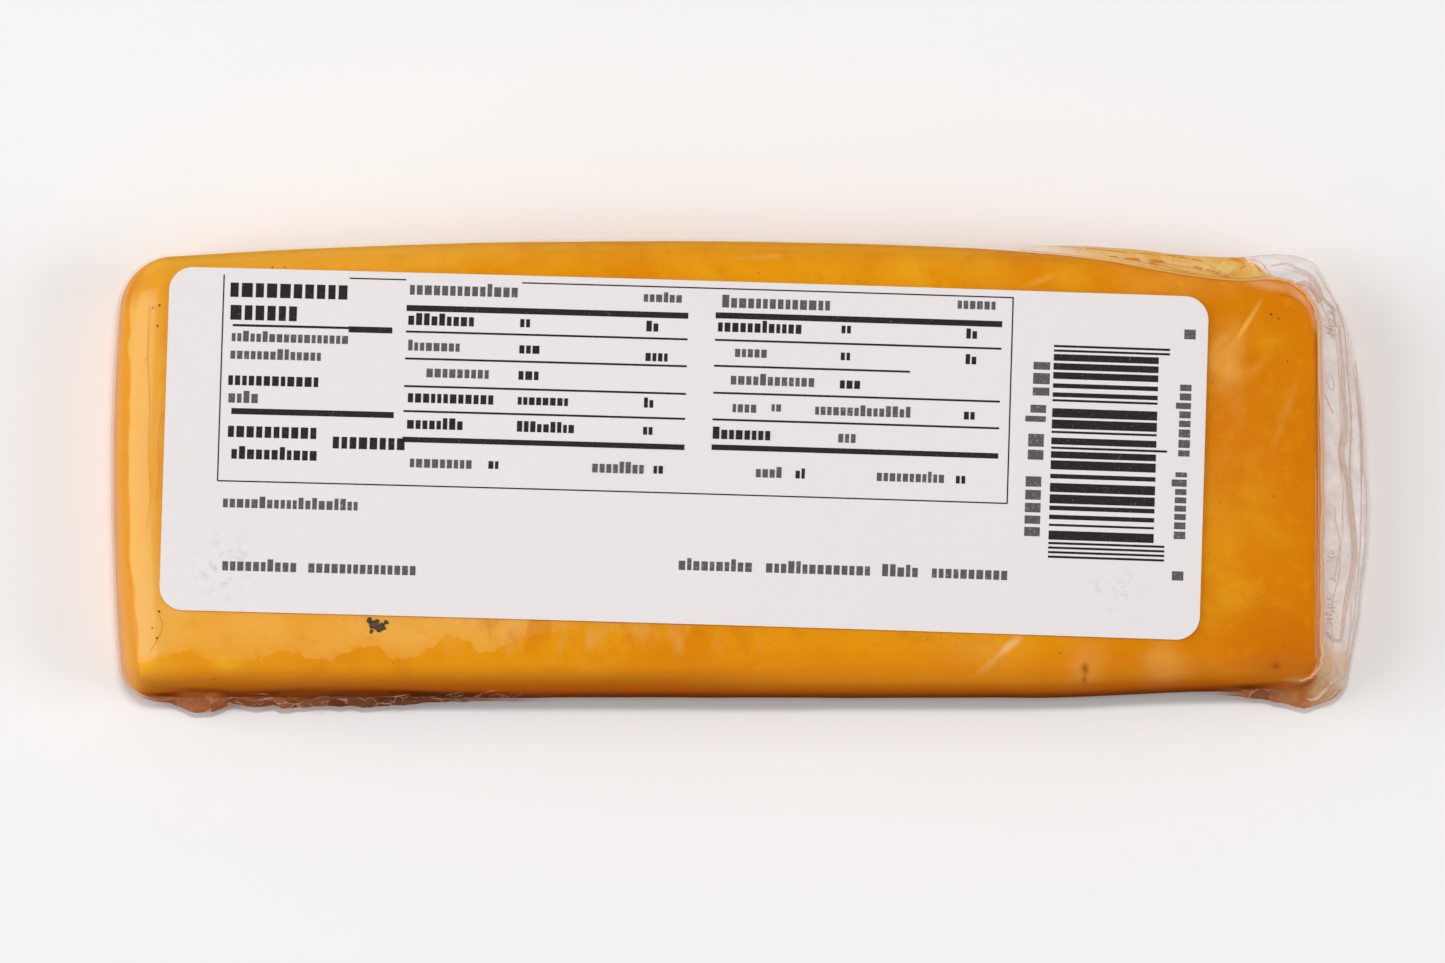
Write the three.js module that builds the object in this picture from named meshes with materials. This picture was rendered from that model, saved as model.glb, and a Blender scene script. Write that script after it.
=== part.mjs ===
// Block of smoked gouda, vacuum-packed in clear film, with a paper label on top.
// Millimetres. X runs along the block (right in the reference view), Y across it (away from the
// viewer), Z up. The origin is on the table under the middle of the pack.
import * as THREE from 'three';

// Driving dimensions of the block, its film drawn tight against it
const BLOCK_LENGTH = 175.2;
const BLOCK_WIDTH = 62.5;
const BLOCK_CENTRE_X = -2.4;
const BLOCK_CENTRE_Y = -0.55;
const PACK_HEIGHT = 19.8;
const TOP_DROP_TO_ENDS = 2.1;
const TOP_DROP_TO_SIDES = 0.9;
const BACK_BOW = 3.3;
const BACK_BOW_PEAK_X = -10;
const LEFT_BOW = 1.5;
const LEAST_RADIUS = 2.5;

// The back side is cut in near the right end: a bell curve that reaches farther to the left
const BACK_CUT = { depth: 2.8, x: 75, reachLeft: 20, reachRight: 9 };

// Corners in plan, anticlockwise: front right, back right, back left, front left
const CORNERS = [
  { sideX: 1, sideY: -1, radius: 5 },
  { sideX: 1, sideY: 1, radius: 9 },
  { sideX: -1, sideY: 1, radius: 6.5 },
  { sideX: -1, sideY: -1, radius: 4.5 },
];

// Rounding of the edges: a quarter circle at the top, a flatter one at the bottom. The tight edge of
// the right end runs on along the back side and eases away between two places of the outline.
const TOP_EDGE_REACH = 4.6;
const RIGHT_END_TOP_EDGE = 1.2;
const LEFT_END_TOP_EDGE = 6;
const TIGHT_EDGE_ENDS = { from: 3, to: 3.35 };
const BOTTOM_EDGE = { in: 2.6, up: 2.2 };

// The film stands off the block in a margin all round. Its crest follows the sides at one height,
// rising to the back, and juts out where the spare film is folded: each fold is a bump on the plan.
const MARGIN_WIDTH = 0.9;
const CREST_HEIGHT = 6.2;
const CREST_RISE_TO_BACK = 3.6;
const MARGIN_FOLDS = [
  { name: 'tail at the right end', x: 86.5, y: -4.3, out: 6.5, reachX: 5.5, reachY: 33 },
  { name: 'ear at the back right corner', x: 78.6, y: 28.2, out: 3.15, reachX: 12, reachY: 2 },
  { name: 'slack film along the back', x: 50, y: 26.8, out: 5.3, reachX: 17.6, reachY: 4.1 },
  { name: 'crumple at the front left corner', x: -78, y: -33, out: 1.5, reachX: 9, reachY: 7 },
  { name: 'slack film along the front left', x: -60, y: -33, out: 1.6, reachX: 22, reachY: 7 },
];

// The side runs out to the crest as a power of the way down: a low power where the film clings, a
// higher one where it is slack, so that it hugs the block first and juts out low down
const CLINGING = { power: 1.3, width: 1.2 };
const SLACK = { power: 2.6, width: 3.5 };

// Paper label, lying on the film and turned a little clockwise
const LABEL_LENGTH = 152.4;
const LABEL_WIDTH = 50.8;
const LABEL_CORNER = 3.5;
const LABEL_CENTRE_X = -8.1;
const LABEL_CENTRE_Y = 2;
const LABEL_TURN_DEG = -1.73;
const LABEL_THICKNESS = 0.3;
const LABEL_GAP = 0.2;

// How finely the surfaces are divided
const CORNER_STEPS = 6;
const LONG_SIDE_STEPS = 26;
const RIGHT_END_STEPS = 16;
const LEFT_END_STEPS = 12;
const TOP_RINGS = 6;
const EDGE_RINGS = 5;
const SIDE_RINGS = 4;
const UNDER_RINGS = 2;
const BOTTOM_EDGE_RINGS = 3;
const LABEL_RINGS = 5;

const mix = (a, b, t) => a + (b - a) * t;
const smooth = (a, b, t) => THREE.MathUtils.smoothstep(t, a, b);

// Places along an outline are numbered 0 to 8. Each corner takes one unit (0-1 front right,
// 2-3 back right, 4-5 back left, 6-7 front left) and each side the unit between two corners.
function placesAlongOutline(rightSteps, longSteps, leftSteps, cornerSteps) {
  const steps = [rightSteps, longSteps, leftSteps, longSteps].flatMap((side) => [cornerSteps, side]);
  return steps.flatMap((count, unit) => Array.from({ length: count }, (_, k) => unit + k / count));
}

// One of the eight points where an arc of the outline meets a straight, as the arc's centre, radius
// and direction. The inset draws the rectangle in, and the arc keeps a least radius.
function outlineKey(key, halfX, halfY, corners, inset) {
  const corner = corners[Math.floor(key / 2) % 4];
  const radius = Math.max(corner.radius - inset, LEAST_RADIUS);
  return {
    x: corner.sideX * (halfX - inset - radius),
    y: corner.sideY * (halfY - inset - radius),
    radius,
    turn: -Math.PI / 2 + Math.floor((key + 1) / 2) * (Math.PI / 2),
  };
}

// Rounded rectangle with four corner radii: arc centre plus radius in the outward direction
function roundedRectangle(place, halfX, halfY, corners, inset) {
  const whole = Math.floor(place);
  const part = place - whole;
  const from = outlineKey(whole, halfX, halfY, corners, inset);
  const to = outlineKey(whole + 1, halfX, halfY, corners, inset);
  const turn = mix(from.turn, to.turn, part);
  const radius = mix(from.radius, to.radius, part);
  return {
    x: mix(from.x, to.x, part) + radius * Math.cos(turn),
    y: mix(from.y, to.y, part) + radius * Math.sin(turn),
    outX: Math.cos(turn),
    outY: Math.sin(turn),
  };
}

// Plan of the block: the rounded rectangle with its back side and left end bowed out as parabolas
// and the back side cut in near the right
function blockPlan(place, inset, scale, margin) {
  const halfX = BLOCK_LENGTH / 2;
  const halfY = BLOCK_WIDTH / 2;
  const p = roundedRectangle(place, halfX, halfY, CORNERS, inset);
  const x = p.x * scale;
  const y = p.y * scale;
  const cutReach = x < BACK_CUT.x ? BACK_CUT.reachLeft : BACK_CUT.reachRight;
  const bow = BACK_BOW * (1 - ((x - BACK_BOW_PEAK_X) / halfX) ** 2);
  const cut = BACK_CUT.depth * Math.exp(-(((x - BACK_CUT.x) / cutReach) ** 2));
  const atBack = (y / halfY + 1) / 2;
  const leftBow = LEFT_BOW * (1 - (y / halfY) ** 2) * (1 - x / halfX) / 2;
  return {
    x: BLOCK_CENTRE_X + x - leftBow + margin * p.outX,
    y: BLOCK_CENTRE_Y + y + (bow - cut) * atBack + margin * p.outY,
  };
}

// Height of the gently crowned top, falling as a parabola both ways
function topHeight(x, y) {
  const alongX = (x - BLOCK_CENTRE_X) / (BLOCK_LENGTH / 2);
  const alongY = (y - BLOCK_CENTRE_Y) / (BLOCK_WIDTH / 2);
  return PACK_HEIGHT - TOP_DROP_TO_ENDS * alongX ** 2 - TOP_DROP_TO_SIDES * alongY ** 2;
}

// How far the film margin juts out at a point of the plan: a sum of bell curves
function marginWidth(x, y) {
  const away = (fold) => ((x - fold.x) / fold.reachX) ** 2 + ((y - fold.y) / fold.reachY) ** 2;
  return MARGIN_FOLDS.reduce((sum, fold) => sum + fold.out * Math.exp(-away(fold)), MARGIN_WIDTH);
}

function sidePower(width) {
  return mix(CLINGING.power, SLACK.power, smooth(CLINGING.width, SLACK.width, width));
}

// Size of the top edge's rounding: tight along the cut right end, wide round the left end
function topEdgeReach(place) {
  const atRight = smooth(0, 1, place) * (1 - smooth(TIGHT_EDGE_ENDS.from, TIGHT_EDGE_ENDS.to, place));
  const atLeft = smooth(4, 5, place) * (1 - smooth(6, 7, place));
  const tighter = atRight * (TOP_EDGE_REACH - RIGHT_END_TOP_EDGE);
  const wider = atLeft * (LEFT_END_TOP_EDGE - TOP_EDGE_REACH);
  return TOP_EDGE_REACH - tighter + wider;
}

// Section from the middle of the top, over the edge, down the side, round the margin's crest and
// under to the middle of the flat bottom. Each ring is a function from a place to a point.
function packRings() {
  const rings = [];
  const capPoint = (place, scale) => {
    const p = blockPlan(place, topEdgeReach(place), scale, 0);
    return [p.x, p.y, topHeight(p.x, p.y)];
  };
  for (let k = 1; k <= TOP_RINGS; k += 1) {
    rings.push((place) => capPoint(place, k / TOP_RINGS));
  }
  for (let k = 1; k <= EDGE_RINGS; k += 1) {
    const turn = (k / EDGE_RINGS) * (Math.PI / 2);
    rings.push((place) => {
      const reach = topEdgeReach(place);
      const p = blockPlan(place, reach * (1 - Math.sin(turn)), 1, 0);
      return [p.x, p.y, topHeight(p.x, p.y) - reach * (1 - Math.cos(turn))];
    });
  }
  const sidePoint = (place, jut, height) => {
    const foot = blockPlan(place, 0, 1, 0);
    const width = marginWidth(foot.x, foot.y);
    const edge = topHeight(foot.x, foot.y) - topEdgeReach(place);
    const crest = CREST_HEIGHT + CREST_RISE_TO_BACK * ((foot.y - BLOCK_CENTRE_Y) / (BLOCK_WIDTH / 2));
    const p = blockPlan(place, 0, 1, width * jut(width));
    return [p.x, p.y, height(edge, crest)];
  };
  for (let k = 1; k <= SIDE_RINGS; k += 1) {
    const part = k / SIDE_RINGS;
    const jut = (width) => part ** sidePower(width);
    rings.push((place) => sidePoint(place, jut, (edge, crest) => mix(edge, crest, part)));
  }
  for (let k = 1; k <= UNDER_RINGS; k += 1) {
    const part = k / UNDER_RINGS;
    const height = (edge, crest) => mix(crest, BOTTOM_EDGE.up, part);
    rings.push((place) => sidePoint(place, () => 1 - part, height));
  }
  for (let k = 1; k <= BOTTOM_EDGE_RINGS; k += 1) {
    const turn = (k / BOTTOM_EDGE_RINGS) * (Math.PI / 2);
    rings.push((place) => {
      const p = blockPlan(place, BOTTOM_EDGE.in * (1 - Math.cos(turn)), 1, 0);
      return [p.x, p.y, k === BOTTOM_EDGE_RINGS ? 0 : BOTTOM_EDGE.up * (1 - Math.sin(turn))];
    });
  }
  return rings;
}

// Closed surface through rings of points, shut by a fan to one pole above and one below
function closedSurface(places, rings, topPole, bottomPole) {
  const positions = [...topPole];
  rings.forEach((ring) => places.forEach((place) => positions.push(...ring(place))));
  positions.push(...bottomPole);
  const count = places.length;
  const vertex = (ring, k) => 1 + ring * count + (k % count);
  const bottom = positions.length / 3 - 1;
  const last = rings.length - 1;
  const faces = [];
  for (let k = 0; k < count; k += 1) {
    faces.push(0, vertex(0, k), vertex(0, k + 1));
    for (let ring = 0; ring < last; ring += 1) {
      faces.push(vertex(ring, k), vertex(ring + 1, k), vertex(ring + 1, k + 1));
      faces.push(vertex(ring, k), vertex(ring + 1, k + 1), vertex(ring, k + 1));
    }
    faces.push(bottom, vertex(last, k + 1), vertex(last, k));
  }
  const geometry = new THREE.BufferGeometry();
  geometry.setAttribute('position', new THREE.Float32BufferAttribute(positions, 3));
  geometry.setIndex(faces);
  geometry.computeVertexNormals();
  return geometry;
}

function vacuumPack() {
  const places = placesAlongOutline(RIGHT_END_STEPS, LONG_SIDE_STEPS, LEFT_END_STEPS, CORNER_STEPS);
  const middle = blockPlan(0, 0, 0, 0);
  const topPole = [middle.x, middle.y, topHeight(middle.x, middle.y)];
  const geometry = closedSurface(places, packRings(), topPole, [middle.x, middle.y, 0]);
  const material = new THREE.MeshStandardMaterial({ color: '#d98a2b', roughness: 0.25, metalness: 0 });
  const mesh = new THREE.Mesh(geometry, material);
  mesh.name = 'vacuum_pack';
  return mesh;
}

// Label: a rounded plate whose two faces keep the crown of the top, turned about its middle
function label() {
  const corners = CORNERS.map((corner) => ({ ...corner, radius: LABEL_CORNER }));
  const turn = THREE.MathUtils.degToRad(LABEL_TURN_DEG);
  const point = (place, scale, lift) => {
    const p = roundedRectangle(place, LABEL_LENGTH / 2, LABEL_WIDTH / 2, corners, 0);
    const x = LABEL_CENTRE_X + scale * (p.x * Math.cos(turn) - p.y * Math.sin(turn));
    const y = LABEL_CENTRE_Y + scale * (p.x * Math.sin(turn) + p.y * Math.cos(turn));
    return [x, y, topHeight(x, y) + LABEL_GAP + lift];
  };
  const rings = [];
  for (let k = 1; k <= LABEL_RINGS; k += 1) {
    rings.push((place) => point(place, k / LABEL_RINGS, LABEL_THICKNESS));
  }
  for (let k = LABEL_RINGS; k >= 1; k -= 1) {
    rings.push((place) => point(place, k / LABEL_RINGS, 0));
  }
  const places = placesAlongOutline(LEFT_END_STEPS, LONG_SIDE_STEPS, LEFT_END_STEPS, CORNER_STEPS);
  const geometry = closedSurface(places, rings, point(0, 0, LABEL_THICKNESS), point(0, 0, 0));
  const material = new THREE.MeshStandardMaterial({ color: '#e9e2e2', roughness: 0.6, metalness: 0 });
  const mesh = new THREE.Mesh(geometry, material);
  mesh.name = 'label';
  return mesh;
}

const smokedGouda = new THREE.Group();
smokedGouda.add(vacuumPack(), label());

export default smokedGouda;
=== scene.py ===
# A vacuum-packed block of smoked gouda, label up, on a pale table. All sizes are in millimetres and
# are turned to metres when a mesh is made. X runs along the block, Y away from the viewer, Z up.
import bpy
import numpy as np
import math
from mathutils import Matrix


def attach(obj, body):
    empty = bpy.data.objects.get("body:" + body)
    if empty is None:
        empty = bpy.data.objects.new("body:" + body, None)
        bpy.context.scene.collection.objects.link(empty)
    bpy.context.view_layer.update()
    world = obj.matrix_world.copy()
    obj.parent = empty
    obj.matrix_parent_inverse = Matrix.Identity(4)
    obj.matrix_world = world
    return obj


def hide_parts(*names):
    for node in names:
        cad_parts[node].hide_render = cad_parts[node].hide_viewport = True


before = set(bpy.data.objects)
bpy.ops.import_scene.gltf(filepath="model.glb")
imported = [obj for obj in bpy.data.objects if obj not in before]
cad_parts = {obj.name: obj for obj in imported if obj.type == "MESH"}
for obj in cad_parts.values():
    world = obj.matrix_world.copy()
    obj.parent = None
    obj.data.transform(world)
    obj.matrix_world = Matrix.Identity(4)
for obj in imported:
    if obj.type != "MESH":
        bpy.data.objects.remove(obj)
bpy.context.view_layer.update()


# The block of cheese
# A loaf-like block of smoked cheese with a smooth orange skin: rounded edges and corners, a back
# side and a left end that bow out, a right end cut square, and a gently crowned top. It is one
# closed surface: a rounded plan outline carried down a section, inside the film.
MM = 0.001
scene = bpy.context.scene
BLOCK_LENGTH = 175.2
BLOCK_WIDTH = 62.5
BLOCK_X = -2.4
BLOCK_Y = -0.55
PACK_HEIGHT = 19.8
DROP_TO_ENDS = 2.1
DROP_TO_SIDES = 0.9
BACK_BOW = 3.3
BACK_BOW_PEAK_X = -10
LEFT_BOW = 1.5
BACK_CUT = 2.8
BACK_CUT_X = 75
BACK_CUT_REACHES = (20, 9)  # left and right of it
FRONT_CUT = 0.9
FRONT_CUT_START = 45
FRONT_CUT_END = 72
CORNER_RADII = np.array([3.2, 9, 6.5, 4.5])
LEAST_RADIUS = 2.5
EDGE_REACH = 4.6
RIGHT_EDGE_REACH = 1.2
LEFT_EDGE_REACH = 6
FOOT_REACH = 2.6
FOOT_HEIGHT = 2.2
CHEESE_GAP = 0.2
RIGHT_END_GAP = 0.2
MARGIN_WIDTH = 0.9
CREST_HEIGHT = 6.2
CREST_RISE = 3.6
SIDE_POWERS = (1.3, 2.6)  # how the side runs out where the film clings and where it is loose
FRONT_SIDE = (-20, -27)  # y from inside the front side to on it
CRUMPLE_START = (-86, -80)  # x over which the crumple in front at the left sets in
CRUMPLE_STOP = (-50, -30)  # x over which it runs out
CORNER_CRUMPLE_START = (68, 78)  # x over which the crumple at the front right corner sets in
HALF_X = BLOCK_LENGTH / 2
HALF_Y = BLOCK_WIDTH / 2


def ease(low, high, value):
    """0 below low, 1 above high; between them three times the square less twice the cube of t, the
    share of the way."""
    t = np.clip((value - low) / (high - low), 0, 1)
    return t * t * (3 - 2 * t)


def mix(a, b, share):
    """a plus a share of the way from a to b."""
    return a + (b - a) * share


def places_round(right, back, left, front, corner):
    """Places along an outline, from 0 to 8: each corner takes one unit (0-1 front right, 2-3 back
    right, 4-5 back left, 6-7 front left) and each side the unit between, cut into equal steps."""
    steps = (corner, right, corner, back, corner, left, corner, front)
    return np.concatenate([unit + np.arange(count) / count for unit, count in enumerate(steps)])


def rounded_outline(place, inset, half_x, half_y, radii):
    """Rounded rectangle drawn in by inset: arc centre plus radius in the outward direction, where
    centre, radius and direction run evenly between the eight points where arcs meet straights."""

    def at(key):
        corner = key // 2 % 4
        side_x = np.array([1, 1, -1, -1])[corner]
        side_y = np.array([-1, 1, 1, -1])[corner]
        radius = np.maximum(radii[corner] - inset, LEAST_RADIUS)
        turn = ((key + 1) // 2 - 1) * math.pi / 2
        return side_x * (half_x - inset - radius), side_y * (half_y - inset - radius), radius, turn

    whole = np.floor(place).astype(int)
    x, y, radius, turn = (mix(a, b, place - whole) for a, b in zip(at(whole), at(whole + 1)))
    out_x, out_y = np.cos(turn), np.sin(turn)
    return x + radius * out_x, y + radius * out_y, out_x, out_y


def block_plan(place, inset=0, scale=1):
    """Plan of the block: the rounded outline shrunk by scale, with its back side and left end bowed
    out as parabolas, the back side cut in by a bell curve near the right and the front side eased in
    towards the right. Also gives the outward direction."""
    x, y, out_x, out_y = rounded_outline(place, inset, HALF_X, HALF_Y, CORNER_RADII)
    x, y = x * scale, y * scale
    to_back, to_front = (1 + y / HALF_Y) / 2, (1 - y / HALF_Y) / 2
    back_bow = BACK_BOW * (1 - ((x - BACK_BOW_PEAK_X) / HALF_X) ** 2)
    cut_reach = np.where(x < BACK_CUT_X, *BACK_CUT_REACHES)
    back_bow = back_bow - BACK_CUT * np.exp(-(((x - BACK_CUT_X) / cut_reach) ** 2))
    front_cut = FRONT_CUT * ease(FRONT_CUT_START, FRONT_CUT_END, x)
    left_bow = LEFT_BOW * (1 - (y / HALF_Y) ** 2) * (1 - x / HALF_X) / 2
    x = BLOCK_X + x - left_bow
    y = BLOCK_Y + y + back_bow * to_back + front_cut * to_front
    return x, y, out_x, out_y


def crown(x, y):
    """Height of the film over the top, falling as a parabola towards the ends and the sides."""
    along, across = (x - BLOCK_X) / HALF_X, (y - BLOCK_Y) / HALF_Y
    return PACK_HEIGHT - DROP_TO_ENDS * along**2 - DROP_TO_SIDES * across**2


def crest_height(y):
    """Height at which the film stands out farthest from the side: low in front, high at the back."""
    return CREST_HEIGHT + CREST_RISE * (y - BLOCK_Y) / HALF_Y


def end_shares(place):
    """How much a place belongs to the right end and to the left end, easing round the corners."""
    return ease(0, 1, place) * (1 - ease(2, 3, place)), ease(4, 5, place) * (1 - ease(6, 7, place))


def edge_reach(place):
    """Size of the top edge's rounding: tight along the cut right end and on past the back right
    corner, wide round the left end."""
    tight = ease(0, 1, place) * (1 - ease(3, 3.35, place))
    wide = end_shares(place)[1]
    return EDGE_REACH + tight * (RIGHT_EDGE_REACH - EDGE_REACH) + wide * (LEFT_EDGE_REACH - EDGE_REACH)


def unevenness(x, y, size, seed):
    """Smooth noise from -1 to 1: random values on a square lattice of that size, eased between."""
    table = np.random.default_rng(seed).uniform(-1, 1, (64, 64))
    column, row = np.floor(x / size), np.floor(y / size)
    across, up = ease(0, 1, x / size - column), ease(0, 1, y / size - row)
    i, j = column.astype(int) % 64, row.astype(int) % 64
    low = mix(table[i, j], table[(i + 1) % 64, j], across)
    high = mix(table[i, (j + 1) % 64], table[(i + 1) % 64, (j + 1) % 64], across)
    return mix(low, high, up)


def points_at(x, y, z):
    """Points from arrays of coordinates that fit together."""
    return np.stack(np.broadcast_arrays(x, y, z), axis=-1)


def stretches(*counts):
    """For each stretch of a section, a column over all rows: 0 before it, 0 to 1 along it, then 1."""
    rows = np.arange(1, sum(counts) + 1)
    starts = np.cumsum((0,) + counts[:-1])
    return [np.clip((rows - start) / count, 0, 1)[:, None] for start, count in zip(starts, counts)]


def dimples(x, y, z):
    """How far the skin lies in from its even form: broad waves and small hollows."""
    broad = unevenness(x + z, y - z, 17, 3) + 0.5 * unevenness(x - z, y + z, 7, 4)
    return 0.075 * (1.5 + broad)


def mesh_object(name, points, face_groups):
    """A smooth-shaded mesh object from points in metres and groups of faces with equal corners."""
    corners = np.concatenate([group.ravel() for group in face_groups])
    totals = np.concatenate([np.full(len(group), group.shape[1]) for group in face_groups])
    mesh = bpy.data.meshes.new(name)
    mesh.vertices.add(len(points))
    mesh.vertices.foreach_set("co", points.ravel())
    mesh.loops.add(len(corners))
    mesh.loops.foreach_set("vertex_index", corners)
    mesh.polygons.add(len(totals))
    mesh.polygons.foreach_set("loop_start", np.concatenate([[0], np.cumsum(totals)[:-1]]))
    mesh.polygons.foreach_set("use_smooth", np.ones(len(totals), bool))
    mesh.update()
    mesh.validate()
    piece = bpy.data.objects.new(name, mesh)
    scene.collection.objects.link(piece)
    return piece


def closed_mesh(name, *batches):
    """Closed skins in one mesh. A batch holds skins of equal size, each as rings of points that run
    anticlockwise as seen from the first ring's side; fans close them at the ring middles."""
    points, faces, start = [], [], 0
    for skins in batches:
        number, rows, count = skins.shape[:3]
        poles = skins[:, [0, -1]].mean(axis=2)
        points.append(np.concatenate([poles, skins.reshape(number, -1, 3)], axis=1).reshape(-1, 3))
        first = start + np.arange(number)[:, None] * (rows * count + 2)
        here = first[:, :, None] + 2 + np.arange(rows * count).reshape(1, rows, count)
        after = np.roll(here, -1, axis=2)
        top = np.stack(np.broadcast_arrays(first, here[:, 0], after[:, 0]), axis=-1)
        foot = np.stack(np.broadcast_arrays(first + 1, after[:, -1], here[:, -1]), axis=-1)
        quads = np.stack([here[:, :-1], here[:, 1:], after[:, 1:], after[:, :-1]], axis=-1)
        faces += [top.reshape(-1, 3), foot.reshape(-1, 3), quads.reshape(-1, 4)]
        start += number * (rows * count + 2)
    return mesh_object(name, np.concatenate(points) * MM, faces)


def point_values(piece, name, values):
    """A per-point value of a piece made of one skin; the two poles, which come first, get 0."""
    whole = np.concatenate([[0, 0], values.ravel()]).astype(np.float32)
    piece.data.attributes.new(name, "FLOAT", "POINT").data.foreach_set("value", whole)


def wrapped_skin(place, counts, width, power, in_from_top, in_from_ends):
    """Rings of a skin round the pack, lying in by in_from_top along its normal. Stretches: cap over
    the top, rounded edge, side that juts out by width to its crest, under side, rounded foot, base.
    Also gives the ways along the stretches and how far each point juts out."""
    cap, edge, side, under, foot, base = stretches(*counts)
    reach = edge_reach(place)
    turn, foot_turn = edge * math.pi / 2, foot * math.pi / 2
    jut = width * side**power * (1 - under)
    inset = reach * (1 - np.sin(turn)) + FOOT_REACH * (1 - np.cos(foot_turn))
    scale = (1 - (1 - cap) ** 1.3) * (1 - base * 0.96)
    x, y, out_x, out_y = block_plan(place, inset, scale)
    high = crown(x, y) - reach * (1 - np.cos(turn))
    crest = crest_height(block_plan(place)[1])
    z = mix(mix(high, crest, side), FOOT_HEIGHT, under) - FOOT_HEIGHT * np.sin(foot_turn)
    depth = in_from_top + dimples(x, y, z) * (1 - under)
    lean = turn + foot_turn
    out = jut - depth * np.sin(lean) - in_from_ends * edge * (1 - foot)
    return x + out * out_x, y + out * out_y, z - depth * np.cos(lean), jut, (edge, side, under)


CHEESE_STEPS = (70, 230, 60, 230, 18)  # right end, back, left end, front, each corner
CHEESE_ROWS = (36, 16, 18, 6, 8, 6)  # cap, edge, side, under side, foot, base
PALE_WIDTH = 1.7  # of the pale band down the left end, partly a painted reflection


def cheese_surface():
    """The block fills the film, save for a narrow gap that is wider at the right end. Also gives how
    pale it is painted down both ends: partly a painted reflection on the steep ends, partly film
    standing off them."""
    place = places_round(*CHEESE_STEPS)
    at_right, at_left = end_shares(place)
    in_from_ends = RIGHT_END_GAP * at_right
    foot_x, foot_y, _, _ = block_plan(place)
    in_crumple = ease(*CRUMPLE_START, foot_x) - ease(*CRUMPLE_STOP, foot_x)
    in_crumple = (in_crumple + ease(*CORNER_CRUMPLE_START, foot_x)) * ease(*FRONT_SIDE, foot_y)
    width, power = MARGIN_WIDTH - CHEESE_GAP, mix(*SIDE_POWERS, in_crumple)
    x, y, z, _, (edge, side, under) = wrapped_skin(
        place, CHEESE_ROWS, width, power, CHEESE_GAP, in_from_ends
    )
    from_rim = LEFT_EDGE_REACH * (1 - np.sin(edge * math.pi / 2)) + width * (1 - side**power)
    pale_at_left = at_left * np.clip(1 - from_rim / (PALE_WIDTH - 0.6 * foot_y / HALF_Y), 0, 1)
    pale = pale_at_left + at_right * ease(0, 0.3, side)
    return points_at(x, y, z), pale * (1 - ease(0, 0.8, under))


# Where the film stops clinging near the front edge, from the left: x and y of a wavy line. The
# value "dryness" is how far a point lies behind it, in millimetres.
DRY_LINE = np.array([
    (-92, -29), (-88, -28.7), (-84, -27.8), (-80.5, -27), (-76, -28.8), (-70, -28.3), (-67, -27.2),
    (-65, -27), (-63, -28.2), (-60, -28.7), (-56, -26.7), (-53, -26.6), (-51, -28.1), (-47, -28.3),
    (-43, -25), (-40, -25.6), (-38, -27.5), (-35.5, -27.2), (-32, -25.4), (-28, -24.5), (-14, -22.5),
])
cheese_rings, cheese_pale = cheese_surface()
cheese = closed_mesh("cheese", cheese_rings[None])
cheese_x, cheese_y, _ = cheese_rings.T
point_values(cheese, "dryness", (cheese_y - np.interp(cheese_x, *DRY_LINE.T)).T)
point_values(cheese, "pale", cheese_pale)


def linear(colour):
    """A colour of three numbers, which is one as a screen shows it, 0 to 255, as the linear light
    that a shader takes. Sockets and colours of four numbers stay as they are."""
    if not isinstance(colour, tuple) or len(colour) == 4:
        return colour
    share = np.array(colour) / 255
    return (*np.where(share > 0.04045, ((share + 0.055) / 1.055) ** 2.4, share / 12.92), 1)


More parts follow.
